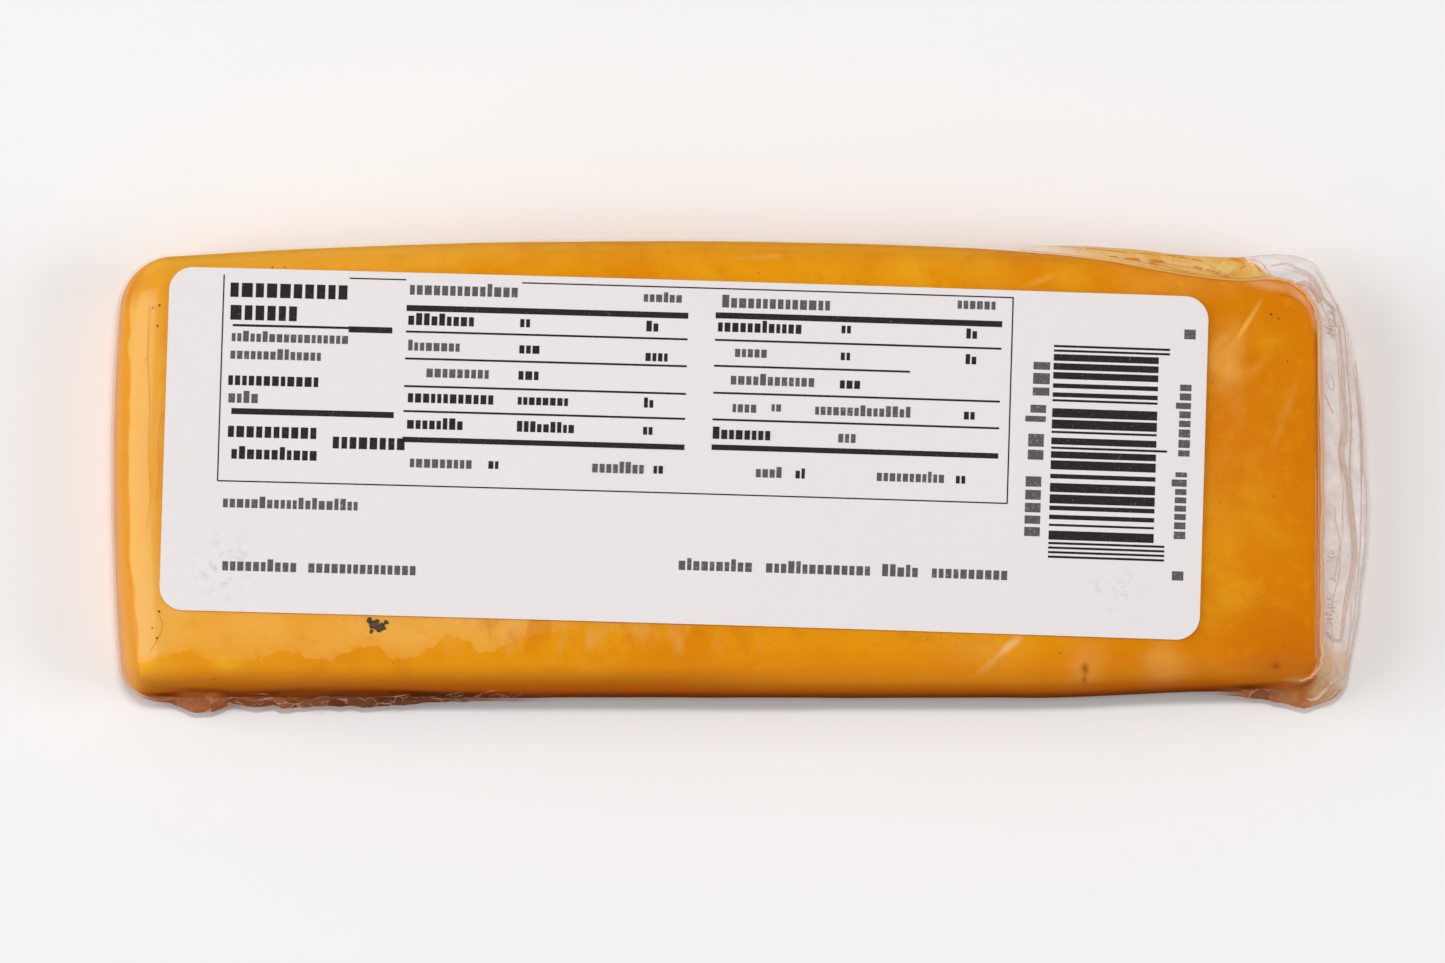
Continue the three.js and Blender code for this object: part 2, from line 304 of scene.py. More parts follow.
class Finish:
    """A material or a world being made: most methods add nodes and give an output socket. The colour
    is built up by painting over it."""

    def __init__(self, name, library=bpy.data.materials):
        self.owner = library.new(name)
        self.owner.use_nodes = True
        self.tree = self.owner.node_tree
        self.tree.nodes.clear()
        coordinates = self.add("TexCoord", {}, "Object")
        self.place = self.add("Mapping", {"Vector": coordinates, "Scale": (1 / MM,) * 3})
        self.colour = (1, 1, 1, 1)

    def add(self, kind, inputs, output=0, **settings):
        """An output of a new shader node with its settings; an input given as a socket is linked, any
        other value is set."""
        made = self.tree.nodes.new("ShaderNode" + kind)
        for key, value in settings.items():
            setattr(made, key, value)
        for key, value in inputs.items():
            if isinstance(value, bpy.types.NodeSocket):
                self.tree.links.new(value, made.inputs[key])
            else:
                made.inputs[key].default_value = value
        return made.outputs[output]

    def joined(self, operation, first, *others):
        """Values joined one after another by an arithmetic operation."""
        for other in others:
            first = self.add("Math", {0: first, 1: other}, operation=operation)
        return first

    def product(self, *values):
        """The product of the values."""
        return self.joined("MULTIPLY", *values)

    def total(self, *values):
        """The sum of the values."""
        return self.joined("ADD", *values)

    def largest(self, *values):
        """The largest of the values."""
        return self.joined("MAXIMUM", *values)

    def ramp(self, value, low, high, to_low=0, to_high=1):
        """The value eased from low..high to to_low..to_high."""
        inputs = {"Value": value, "From Min": low, "From Max": high, "To Min": to_low, "To Max": to_high}
        return self.add("MapRange", inputs, interpolation_type="SMOOTHSTEP")

    def axis(self, name):
        """The X, Y or Z of the place, in millimetres."""
        return self.add("SeparateXYZ", {0: self.place}, name)

    def along(self, name, *ranges):
        """A ramp over X, Y or Z."""
        return self.ramp(self.axis(name), *ranges)

    def value(self, name):
        """A per-point value of the mesh."""
        return self.add("Attribute", {}, "Fac", attribute_name=name)

    def noise(self, size, detail=2, stretch=(1, 1, 1)):
        """Noise with features of about that many millimetres, squeezed along the axes."""
        spread = self.add("Mapping", {"Vector": self.place, "Scale": stretch})
        return self.add("TexNoise", {"Vector": spread, "Scale": 1 / size, "Detail": detail})

    def patches(self, size, detail, *ranges):
        """A ramp over noise."""
        return self.ramp(self.noise(size, detail), *ranges)

    def wavering(self, value, most, size, detail=3, low=0.2):
        """The value moved up and down by noise of that size, by at most that much."""
        return self.total(value, self.patches(size, detail, low, 1 - low, -most, most))

    def cells(self, size, stretch):
        """Space split into wavering cells of about that many millimetres: a value of its own for each
        cell, and the distance from the borders."""
        spread = self.add("Mapping", {"Vector": self.place, "Scale": stretch})
        swirl = self.add("TexNoise", {"Vector": spread, "Scale": 0.7 / size}, "Color")
        inputs = {0: swirl, 1: (size, size, size), 2: spread}
        warped = self.add("VectorMath", inputs, operation="MULTIPLY_ADD")
        kind, inputs = "TexVoronoi", {"Vector": warped, "Scale": 1 / size}
        from_border = self.add(kind, inputs, "Distance", feature="DISTANCE_TO_EDGE")
        return self.add(kind, inputs, "Color"), from_border

    def spot(self, x, y, reach_x, reach_y, most=1, turn=0):
        """A soft spot on the top: most at its middle, 0 beyond its reaches, with an uneven rim; the
        turn is in degrees."""
        reaches, turned = (reach_x, reach_y, 1e6), (0, 0, math.radians(turn))
        inputs = {"Vector": self.place, "Location": (x, y, 0), "Rotation": turned, "Scale": reaches}
        away = self.add("Mapping", inputs, vector_type="TEXTURE")
        length = self.add("VectorMath", {0: away}, "Value", operation="LENGTH")
        return self.ramp(self.wavering(length, 0.3, 5), 1.2, 0, 0, most)

    def spots(self, *rows):
        """The strongest of several soft spots."""
        return self.largest(*(self.spot(*row) for row in rows))

    def blend(self, share, first, second):
        """Two colours mixed by a share."""
        inputs = {0: share, 6: linear(first), 7: linear(second)}
        return self.add("Mix", inputs, 2, data_type="RGBA")

    def paint(self, share, tone):
        """A share of this tone laid over the colour so far."""
        self.colour = self.blend(share, self.colour, tone)

    def bump(self, height, distance, strength=1):
        """A relief whose height of 1 stands for distance millimetres."""
        inputs = {"Height": height, "Distance": distance * MM, "Strength": strength}
        return self.add("Bump", inputs)

    def finish(self, shader, kind="OutputMaterial"):
        """The material, or the world, with this shader as its surface."""
        self.tree.links.new(shader, self.tree.nodes.new("ShaderNode" + kind).inputs["Surface"])
        return self.owner

    def solid(self, inputs):
        """The material: the colour on an opaque surface that has these other inputs."""
        return self.finish(self.add("BsdfPrincipled", {"Base Color": self.colour, **inputs}))

    def clear(self, through, haze, mirror, roughness, **relief):
        """The material of clear film: light goes through it in a tint, a share of haze scatters in the
        colour and a share is mirrored."""
        see = self.add("BsdfTransparent", {"Color": through})
        milky = self.add("BsdfDiffuse", {"Color": self.colour, **relief})
        body = self.add("MixShader", {0: haze, 1: see, 2: milky})
        gloss = self.add("BsdfGlossy", {"Roughness": roughness, **relief})
        return self.finish(self.add("MixShader", {0: mirror, 1: body, 2: gloss}))


def cheese_finish():
    """Orange skin, yellower and browner by soft patches and grains. In front it is dry and pale behind
    the wavy line, where the film lifts off, and partly a painted reflection of the left light, then
    streaky. Painted highlights lie in streaks and patches and in a band down the left end. It is peach
    at the back right corner and pale down both ends, partly a painted reflection and partly film
    standing off. Painted shade: a dark line inside the right end, and towards the front edge it
    darkens to brown down the front side towards the foot."""
    skin = Finish("smoked_cheese")
    skin.colour = (231, 143, 4)
    skin.paint(skin.patches(26, 3, 0.35, 0.65), (240, 160, 12))
    skin.paint(skin.ramp(skin.wavering(skin.axis("X"), 25, 20, 2, 0), 20, 95), (222, 129, 4))
    blotches = skin.spots(
        (25, 29, 4, 3.5, 0.4), (36, 28.5, 5, 4, 0.4), (48.5, 27.5, 4, 3.5, 0.35),
        (71.5, -18.5, 5, 5, 0.4), (69.5, -10, 5, 14, 0.3), (62.5, -29.4, 4.5, 4, 0.4),
        (-75.8, -28.9, 3, 2, 0.8), (38.5, -27.5, 7, 3.5, 0.35),
    )
    skin.paint(skin.largest(skin.patches(9, 2, 0.5, 0.85, 0, 0.4), blotches), (247, 186, 40))
    # Paler behind the wavy line in front, where the film lifts off the skin, and partly a painted
    # reflection of the left light on the film.
    behind_line = skin.wavering(skin.value("dryness"), 0.5, 1.2)
    lifted_film_and_sheen_front = skin.product(
        skin.ramp(behind_line, -0.15, 0.15), skin.ramp(behind_line, 0, 3, 0.65, 1),
        skin.along("X", -16, -38), skin.along("Y", -10, -20), skin.patches(9, 3, 0.2, 0.8, 0.5, 1),
    )
    # A little paler over the left part of the top: painted reflection of the left light.
    left = skin.wavering(skin.axis("X"), 6, 8)
    left_light_sheen = skin.product(skin.ramp(left, -30, -75, 0, 0.12), skin.along("Y", -27, -24))
    # Painted highlights and reflections: pale streaks and patches where the film catches the light.
    painted_highlights = skin.spots(
        (71.5, 15, 3.5, 8, 0.6), (74.4, 21.3, 4.2, 0.5, 0.9, 58), (73, 12.5, 9, 1, 0.2, 40),
        (80, 8, 7, 0.9, 0.2, 70), (38.4, -27.6, 3.6, 0.4, 0.5, 32), (3, 31, 5.5, 0.5, 0.4, 4),
        (44, 27.4, 2.5, 0.6, 0.3, 20), (65, 27, 12, 3, 0.2),
    )
    # Lifted film with painted reflection, and the painted highlights, in one pale tone.
    skin.paint(skin.largest(lifted_film_and_sheen_front, left_light_sheen, painted_highlights), (250, 190, 92))
    streaky = skin.product(
        skin.along("X", -48, -38), skin.along("X", 12, -4), skin.along("Y", -29, -26.5),
        skin.along("Y", -10, -20),
    )
    streak = skin.noise(3.6, 4, (1, 0.4, 1))
    skin.paint(skin.product(streaky, skin.ramp(streak, 0.48, 0.66, 0, 0.45)), (240, 176, 96))
    skin.paint(skin.product(streaky, skin.ramp(streak, 0.48, 0.32, 0, 0.45)), (220, 124, 14))
    for size, low, high, tone in (
        (0.5, 0.6, 0.78, (180, 92, 14)), (0.35, 0.6, 0.75, (252, 184, 60)),
        (3, 0.52, 0.75, (214, 122, 6)), (2.2, 0.55, 0.75, (248, 172, 30)),
    ):
        skin.paint(skin.patches(size, 4, low, high, 0, 0.3), tone)
    # Lighter and yellower towards the left end: partly painted light from the left, partly the skin's own
    # tone.
    skin.paint(skin.ramp(left, -30, -80, 0, 0.4), (250, 172, 40))
    # A painted highlight down the left end: the left light's reflection on the rounded edge, brighter and
    # yellower.
    skin.paint(skin.ramp(skin.wavering(skin.axis("X"), 3, 6, 2, 0), -82, -88, 0, 0.6), (250, 182, 50))
    from_end = skin.wavering(skin.total(skin.axis("X"), skin.along("Y", -8, -28, 0, -1.4)), 0.35, 5)
    left_end_highlight = skin.product(
        skin.ramp(from_end, -89.6, -89.2), skin.ramp(from_end, -83.5, -87.2, 0, 0.85),
        skin.along("Y", -28.4, -26.4), skin.along("Y", 28, 23), skin.patches(7, 2, 0.3, 0.7, 0.75, 1),
    )
    skin.paint(left_end_highlight, (243, 184, 84))
    skin.paint(skin.ramp(from_end, -89.2, -89.6, 0, 0.9), (232, 150, 20))
    # A thin dark line just inside the right end: painted shade where the film meets the cheese's edge.
    skin.paint(skin.ramp(skin.wavering(skin.axis("X"), 0.3, 3, 2, 0), 84, 84.5, 0, 0.3), (150, 78, 18))
    # Darker towards the front edge: painted shade where the top turns away from the light.
    skin.paint(skin.product(skin.along("Y", -25, -31, 0, 0.6), skin.along("X", -60, 20)), (228, 132, 14))
    # Spots of tone: the pale ones at x 36 to 40 by the front edge are a painted highlight streak, and the
    # broad pale one along the back edge at the left is painted light from the left; the rest are darker
    # and paler spots and specks.
    for tone, *spot in (
        ((200, 106, 10), 83, -29, 16, 9, 0.6), ((240, 172, 84), 62.3, -29, 4, 4.5, 0.5),
        ((240, 172, 84), 50.6, -28.6, 4, 5, 0.4), ((240, 172, 84), 37.4, -28.4, 3.8, 0.8, 0.9, 40),
        ((240, 172, 84), 36, -27, 8, 3, 0.3), ((252, 204, 140), 39.6, -26.4, 3.4, 1, 0.85, 38),
        ((176, 84, 10), 50.6, -29.7, 0.7, 1, 0.7), ((176, 84, 10), 50.5, -31, 0.5, 0.5, 0.7),
        ((176, 84, 10), 78.6, -29.2, 0.9, 0.6, 0.7), ((206, 118, 20), -90.5, 28, 5, 5, 0.7),
        ((252, 180, 50), -58, 33, 36, 6, 0.8),
    ):
        skin.paint(skin.spot(*spot), tone)
    # Browner along the front edge in the middle: painted shade.
    front_edge_shade = skin.product(skin.along("Y", -29, -32.8, 0, 0.85), skin.along("X", 20, -20))
    skin.paint(front_edge_shade, (180, 84, 16))
    # Peach along the back right corner's edge: partly a painted reflection of the right light at the
    # grazing edge, partly film standing off it.
    back_right_rim_sheen = skin.spots(
        (77.5, 27, 6, 0.9, 0.6, -12), (82.3, 25.3, 4, 1.2, 1, -38), (84.9, 21.4, 3.5, 1, 1, -75)
    )
    skin.paint(back_right_rim_sheen, (232, 178, 122))
    # Down the front side the skin darkens to brown towards the foot: painted shade of the side turned
    # from the light.
    facing_front, off_corner = skin.along("Y", -24, -28), skin.along("X", 68, 80, 1, 0.3)
    for tone, down, rightward in (
        ((198, 90, 10), skin.along("Z", 16, 9, 0, 0.75), skin.along("X", -90, -30, 0.3, 1)),
        ((86, 30, 6), skin.along("Z", 10, 2, 0, 0.95), skin.along("X", -84, -25, 0.2, 1)),
    ):
        skin.paint(skin.product(facing_front, down, rightward, off_corner), tone)
    skin.paint(skin.spot(82.5, -31.5, 5.5, 1.3), (248, 186, 128))
    # Pale and peach down both ends: partly a painted reflection on the steep ends, partly film standing
    # off them.
    pale, at_right = skin.value("pale"), skin.along("X", 0, 10)
    skin.paint(skin.ramp(pale, 0, 0.5), skin.blend(at_right, (230, 158, 76), (226, 150, 92)))
    skin.paint(skin.ramp(pale, 0.45, 1), skin.blend(at_right, (222, 162, 118), (230, 172, 128)))
    return skin.solid({
        "Roughness": 0.6,
        "Specular IOR Level": 0,
        "Subsurface Weight": 0.3,
        "Subsurface Radius": (3 * MM, 1.1 * MM, 0.3 * MM),
        "Subsurface Scale": 1,
        "Normal": skin.bump(skin.noise(1.6, 5), 0.05, 0.5),
    })


cheese.data.materials.append(cheese_finish())
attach(cheese, "root")
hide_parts("vacuum_pack")


# Dark flecks
# Bits of dark smoked crust on the skin under the film: one ragged fleck near the front and many
# specks. They are low closed domes with uneven rims, dropped onto the cheese.
FLECK_RISE = 0.25  # height as a share of the size
HIGHEST_FLECK = 0.22


def fleck_skins(spots):
    """For each (x, y, size): four rings of a low dome, from near its top to below its foot, with a
    rim that wavers by seeded noise; its foot stands on the cheese and leans as the cheese does."""
    bpy.context.view_layer.update()
    random = np.random.default_rng(21)
    turn = np.arange(12) * math.tau / 12
    skins = []
    for x, y, size in spots:
        _, foot, normal, _ = cheese.ray_cast((x * MM, y * MM, 0.05), (0, 0, -1))
        across = normal.cross((0.3, 1, 0)).normalized()
        basis = np.array([across, normal.cross(across), normal])
        rim = size * random.uniform(0.55, 1.15, 12)
        height = min(FLECK_RISE * size, HIGHEST_FLECK)
        outline = points_at(rim * np.cos(turn), rim * np.sin(turn), 0)
        rings = [
            outline * wide + (0, 0, height * up)
            for wide, up in ((0.45, 1), (0.8, 0.75), (1, 0.1), (0.7, -0.6))
        ]
        skins.append(np.array(foot) / MM + np.array(rings) @ basis)
    return np.array(skins)


random = np.random.default_rng(5)
FLECK_SPOTS = [  # x, y, size
    (-53.4, -23.4, 0.9), (-52.5, -23.8, 0.8), (-54.2, -22.7, 0.5), (-51.8, -23.1, 0.45),
    (-53.9, -24.3, 0.4), (-86, 23.6, 0.16), (-85, 24, 0.2), (-85.3, 20.9, 0.17), (-87, 16, 0.14),
    (-85, -21.3, 0.22), (-86, -23.7, 0.16), (-85.3, -25.2, 0.2), (-77, -31, 0.25), (-66.7, 29.6, 0.14),
    (-68.5, 29.6, 0.16), (77.9, 22.6, 0.2), (79, 22, 0.16), (80.3, 15.6, 0.15), (50.6, -29.7, 0.14),
    (50.5, -31, 0.1), (78.6, -29.2, 0.14),
]
SPECK_COUNT = 170
LABEL_MIDDLE_Y, LABEL_REACH_Y, LABEL_RIGHT = 2, 25.5, 68.5  # the label hides what lies within
scattered = np.column_stack([
    random.uniform(low, high, SPECK_COUNT) for low, high in ((-84, 80), (-29, 29), (0.05, 0.12))
])
beside_label = np.abs(scattered[:, 1] - LABEL_MIDDLE_Y) > LABEL_REACH_Y
outside_label = beside_label | (scattered[:, 0] > LABEL_RIGHT)
FLECK_SPOTS += scattered[outside_label].tolist()
flecks = closed_mesh("dark_flecks", fleck_skins(FLECK_SPOTS))


def fleck_finish():
    """Near-black brown crust with a grey-green cast."""
    crust = Finish("dark_crust")
    crust.colour = crust.blend(crust.noise(0.6, 3), (38, 36, 30), (92, 60, 28))
    return crust.solid({"Roughness": 0.6})


flecks.data.materials.append(fleck_finish())
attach(flecks, "root")


# The clear film
# A bag of thin clear plastic, drawn tight round the block by vacuum. It is one closed skin: the
# block's own section with a margin that juts out at the side, wide in the creased tail at the right
# end and in the flap behind, and crumpled in front at the left and at the right corner.
MARGIN_FOLDS = [  # x, y, how far out, reach along x, reach along y
    (86.5, -4.3, 6.5, 5.5, 33),
    (77.5, -32, 1.2, 5, 3),
    (78.6, 28.2, 3.15, 12, 2),
    (50, 26.8, 5.3, 17.6, 4.1),
    (-78, -33, 1.5, 9, 7),
    (-60, -33, 1.6, 22, 7),
]
FILM_STEPS = (160, 210, 50, 470, 28)  # right end, back, left end, front, each corner
FILM_ROWS = (8, 8, 60, 8, 6, 3)  # cap, edge, side, under side, foot, base


# How far the crumpled film in front at the left stands off the side: x and distance.
CRUMPLE_RIM = np.array([
    (-92, 0.9), (-87.5, 0.95), (-85.9, 1.05), (-83.5, 1.7), (-80.8, 2.7), (-79.1, 2.95), (-76.9, 2.65),
    (-75, 1.8), (-74.2, 1.65), (-72.3, 1.95), (-70.4, 2.05), (-68.3, 1.7), (-67.1, 2.2), (-63.6, 2.3),
    (-57.8, 2), (-54.1, 2.25), (-45.3, 1.4), (-35, 1.05), (-20, 0.9),
])
RIM_STOP = (-20, -10)  # x over which the rim stops holding the film back
LOOSE_WIDTHS = (1.2, 3.5)  # widths of the margin over which it goes from clinging to loose
TAIL_WIDTHS = (2.2, 4.5)  # widths over which it gets the tail's folds
TAIL_START = (76, 80)  # x over which they set in
FOLD_SPACING = 1.9
FOLD_HEIGHT = 0.2
CRACK_HEIGHT = 0.16
BACK_RIDGE_HEIGHT = 0.12
FRONT_RIDGE_HEIGHT = 1.2
FRONT_HOLLOW_DEPTH = 0.6


def margin_width(x, y):
    """How far the film stands off the side at a point of the plan: a sum of bell curves, held back
    in front to the crumple's uneven rim."""
    width = MARGIN_WIDTH
    for fold_x, fold_y, out, reach_x, reach_y in MARGIN_FOLDS:
        width = width + out * np.exp(-(((x - fold_x) / reach_x) ** 2) - ((y - fold_y) / reach_y) ** 2)
    held = np.minimum(width, np.interp(x, *CRUMPLE_RIM.T))
    return mix(width, held, ease(*FRONT_SIDE, y) * (1 - ease(*RIM_STOP, x)))


def side_power(width):
    """How the side runs out: evenly where the film clings; where it is wide it hugs the block, then
    juts."""
    return mix(*SIDE_POWERS, ease(*LOOSE_WIDTHS, width))


def film_surface():
    """The film's rings, and at each point how slack, warm in tint, milky and creased it is. Long folds
    along the tail are waves of the distance out from the block, short cracks near the block are waves
    of the way round it; ridges of noise crumple the flap behind and the lower side in front."""
    place = places_round(*FILM_STEPS)
    at_right, at_left = end_shares(place)
    foot_x, foot_y, out_x, out_y = block_plan(place)
    width = margin_width(foot_x, foot_y)
    loose = ease(*LOOSE_WIDTHS, width)
    way = np.cumsum(np.hypot(np.gradient(foot_x), np.gradient(foot_y)))
    width = width * (1 - 0.03 * loose * (1 + unevenness(way, 0, 6, 11)))
    x, y, z, jut, (_, side, under) = wrapped_skin(place, FILM_ROWS, width, side_power(width), 0, 0)
    tail = ease(*TAIL_WIDTHS, width) * ease(*TAIL_START, foot_x)
    wander = 0.8 * unevenness(way, jut * 0.4, 14, 12) + 0.25 * unevenness(way, jut, 4, 14)
    fold = np.abs(np.sin(math.pi * (jut / FOLD_SPACING + wander))) ** 0.6
    z = z + FOLD_HEIGHT * (fold - 0.5) * tail * ease(1.2, 2.6, jut) * (1 - under)
    crack = unevenness(way, jut * 0.5, 0.8, 13) * ease(-0.1, 0.5, unevenness(way, 0, 9, 15))
    crack = crack * ease(0.2, 0.8, jut) * (1 - ease(1.8, 2.4, jut))
    z = z + CRACK_HEIGHT * crack * tail * (1 - under)
    front = ease(0.3, 0.9, -out_y)
    front_left = front * ease(-89, -83, foot_x) * (1 - ease(-52, -26, foot_x))
    front_right = front * ease(69, 76, foot_x)
    low_front = np.maximum(front_left * ease(0.6, 0.7, side), 0.9 * front_right * ease(0.52, 0.64, side))
    crumple = np.maximum(loose * (1 - tail) * ease(0.1, 0.6, jut), low_front)
    ridges = 1 - np.abs(unevenness(way * 0.7 + jut, 1.6 * jut + 0.4 * z, 2.4, 16))
    ridges = ridges * (1 - 0.5 * np.abs(unevenness(way - jut, jut + z, 1.3, 17)))
    ridge_height = mix(BACK_RIDGE_HEIGHT, FRONT_RIDGE_HEIGHT * ease(0.2, 1, jut), front)
    z = z + crumple * ridge_height * (ridges - 0.6) * (1 - under)
    sunk = FRONT_HOLLOW_DEPTH * crumple * front * ease(0.2, 1.2, jut) * (1 - ridges)
    x, y = x - sunk * out_x, y - sunk * out_y
    fringe = at_left * ease(0, 0.6, side)
    slack = loose * ease(0.05, 0.8, jut)
    past_flap = x - 78 + 1.3 * (y - 28.8) + 0.8 * unevenness(x, y, 1.5, 18)
    warm = crumple * np.where(y > 0, 1 - ease(-0.8, 0.8, past_flap), 1)
    milk = np.maximum(slack * mix(0.75, 0.5, tail), 0.12 * fringe)
    milk = np.maximum(milk * (1 - front * (1 - tail)), 0.95 * crumple * front) * (1 - ease(0, 0.3, under))
    values = {"slack": np.maximum(slack, fringe), "warm": warm, "milk": milk, "creased": crumple * front}
    return points_at(x, y, z), {name: np.broadcast_to(value, z.shape) for name, value in values.items()}


film_rings, film_values = film_surface()
film = closed_mesh("film", film_rings[None])
for name, values in film_values.items():
    point_values(film, name, values)


def film_finish():
    """Clear glossy plastic: see-through on the block, beige and milky where it is slack, yellow in the
    flap behind, and in front crumpled to brown facets with pale ridges, which are painted light: the
    brown and the dark facets are painted shade, the pale ridges painted highlights. It mirrors little
    edge-on and along the front edge, where the pale table would grey the block's side."""
    skin = Finish("clear_film")
    slack, warm = skin.value("slack"), skin.value("warm")
    at_left, at_back = skin.along("X", -78, -84), skin.along("Y", 10, 20)
    past_left, far_right, at_corner = (
        skin.along("X", low, high) for low, high in ((-80, -48), (58, 66), (78, 82))
    )
    relief = skin.bump(skin.product(skin.noise(3, 3), skin.ramp(at_left, 0, 1, 1, 4)), 0.03, 1)
    edge_on = skin.add("LayerWeight", {"Blend": 0.5, "Normal": relief}, "Facing")
    edge_share = skin.ramp(edge_on, 0.02, 0.6)
    slack_tint = skin.blend(edge_share, (0.998, 0.99, 0.985, 1), (0.985, 0.955, 0.94, 1))
    through = skin.blend(slack, (0.99, 0.985, 0.98, 1), slack_tint)
    # Tints seen through: in front a brown that stands for the shadowed cheese below, painted shade;
    # behind, the yellow of the flap.
    warm_tint = skin.blend(far_right, (0.82, 0.55, 0.32, 1), (0.94, 0.74, 0.5, 1))
    through = skin.blend(warm, through, skin.blend(at_back, warm_tint, (0.99, 0.9, 0.56, 1)))

    def along_front(*tones):
        """These tones in turn, from the left to the right corner."""
        tone = tones[0]
        for share, following in zip((past_left, far_right, at_corner), tones[1:]):
            tone = skin.blend(share, tone, following)
        return tone

    # The crumpled film in front is painted: brown facets lit and shaded cell by cell, painted shade, with
    # painted highlights along the ridges.
    lit_facet = along_front((186, 116, 76), (120, 70, 48), (178, 106, 68), (206, 146, 112))
    shaded_facet = along_front((168, 90, 44), (82, 34, 14), (134, 64, 30), (160, 94, 56))
    own_value, from_border = skin.cells(2.6, (0.8, 1, 0.8))
    facet = skin.blend(skin.ramp(own_value, 0.15, 0.7), shaded_facet, lit_facet)
    ridge_highlight = skin.product(skin.ramp(from_border, 0.05, 0.015), skin.patches(2, 3, 0.45, 0.6, 0, 0.8))
    crumpled = skin.blend(ridge_highlight, facet, (226, 190, 172))
    # The film's wall above the crumple darkens towards the foot: painted shade.
    wall_foot = along_front((210, 108, 34), (138, 60, 14), (214, 108, 30))
    wall_top = along_front((250, 140, 36), (226, 114, 20))
    wall = skin.blend(skin.along("Z", 5, 13), wall_foot, wall_top)
    skin.colour = (0.97, 0.93, 0.92, 1)
    skin.paint(at_left, (236, 204, 184))
    skin.paint(skin.along("X", 89.3, 91.3), (1, 0.99, 1, 1))
    skin.paint(skin.spot(81.5, 30, 8, 4), (0.96, 0.97, 1, 1))
    flap_tone = skin.blend(skin.patches(3, 2, 0.4, 0.6), (248, 184, 72), (254, 208, 112))
    skin.paint(skin.product(skin.ramp(warm, 0, 0.5), at_back), flap_tone)
    crumpled = skin.blend(skin.along("Z", 5, 7.5), crumpled, wall)
    skin.paint(skin.ramp(skin.value("creased"), 0, 0.05), crumpled)
    corner = skin.product(skin.spot(85, -30, 9, 9), slack)
    skin.paint(corner, skin.blend(skin.along("X", 82.8, 85.2), (202, 124, 58), (232, 190, 136)))
    haze = skin.product(skin.value("milk"), skin.patches(4, 4, 0.3, 0.75, 0.6, 1.3))
    haze = skin.largest(haze, skin.product(corner, 0.6))
    off_front = skin.along("Y", -27.5, -30.5, 1, 0.3)
    mirror = skin.product(skin.ramp(edge_on, 0.3, 0.9, 0.035, 0.012), off_front)
    rough = skin.largest(skin.ramp(slack, 0, 1, 0.05, 0.22), skin.ramp(at_left, 0, 1, 0.05, 0.16))
    return skin.clear(through, haze, mirror, rough, Normal=relief)


film.data.materials.append(film_finish())
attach(film, "root")
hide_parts("vacuum_pack")


# Folded layers of film
# Where the bag is slack it lies double: long narrow folds along the tail at the right end, loops and
# pleats behind the block near the right, and small crinkles in front at the left. Each is a thin
# lens-shaped strip carried along a path on the film's skin.
def smooth_path(corners, count=60):
    """A cubic B-spline drawn by its corner points; it starts and ends on the outer two."""
    corners = np.array(corners, float)
    knots = np.concatenate([[corners[0]] * 2, corners, [corners[-1]] * 2])
    along = np.linspace(0, len(knots) - 3 - 1e-6, count)
    first = along.astype(int)
    t = (along - first)[:, None]
    weights = ((1 - t) ** 3, 3 * t**3 - 6 * t**2 + 4, -3 * t**3 + 3 * t**2 + 3 * t + 1, t**3)
    return sum(weight * knots[first + step] for step, weight in enumerate(weights)) / 6


def strip_skins(paths, half_widths, half_heights, around=12):
    """Strips with an elliptic section: at each point of a path the ellipse spans the path's
    right-hand side and the upward direction, and it shrinks to nothing at both ends. Sizes are one
    for all strips, or one for each."""
    paths = np.asarray(paths)
    ahead = np.gradient(paths, axis=1)
    side = np.stack([ahead[..., 1], -ahead[..., 0], np.zeros(ahead.shape[:2])], axis=-1)
    side = side / np.linalg.norm(side, axis=-1, keepdims=True)
    taper = np.sqrt(np.sin(math.pi * np.linspace(0.01, 0.99, paths.shape[1])))[:, None]
    turn = np.arange(around) * math.tau / around
    wide, high = (
        (np.broadcast_to(sizes, len(paths))[:, None, None] * taper * swing)[..., None]
        for sizes, swing in ((half_widths, np.cos(turn)), (half_heights, np.sin(turn)))
    )
    return paths[:, :, None] + wide * side[:, :, None] + high * np.array([0, 0, 1])


def drawn_strips(rows, on_surface, half_heights):
    """Strips on a surface; a row holds the half width, then the corner points of the path."""
    paths = [on_surface(*smooth_path(corners).T) for _, corners in rows]
    return strip_skins(paths, [half_width for half_width, _ in rows], half_heights)


def on_margin_at(foot_x, foot_y, out_x, out_y, reach, share, lift):
    """Points on the margin's upper skin beside feet on the block's outline: its height falls from
    the top edge's foot to the crest as the share to the power of 1 / side_power."""
    width = margin_width(foot_x, foot_y)
    fall = np.clip(share, 0, 1) ** (1 / side_power(width))
    height = mix(crown(foot_x, foot_y) - reach, crest_height(foot_y), fall)
    out = width * share
    return points_at(foot_x + out * out_x, foot_y + out * out_y, height + lift)


def on_margin(place, share, lift):
    """Points on the margin's upper skin: share 0 at the block's side, 1 at the film's rim."""
    foot_x, foot_y, out_x, out_y = block_plan(place)
    return on_margin_at(foot_x, foot_y, out_x, out_y, edge_reach(place), share, lift)


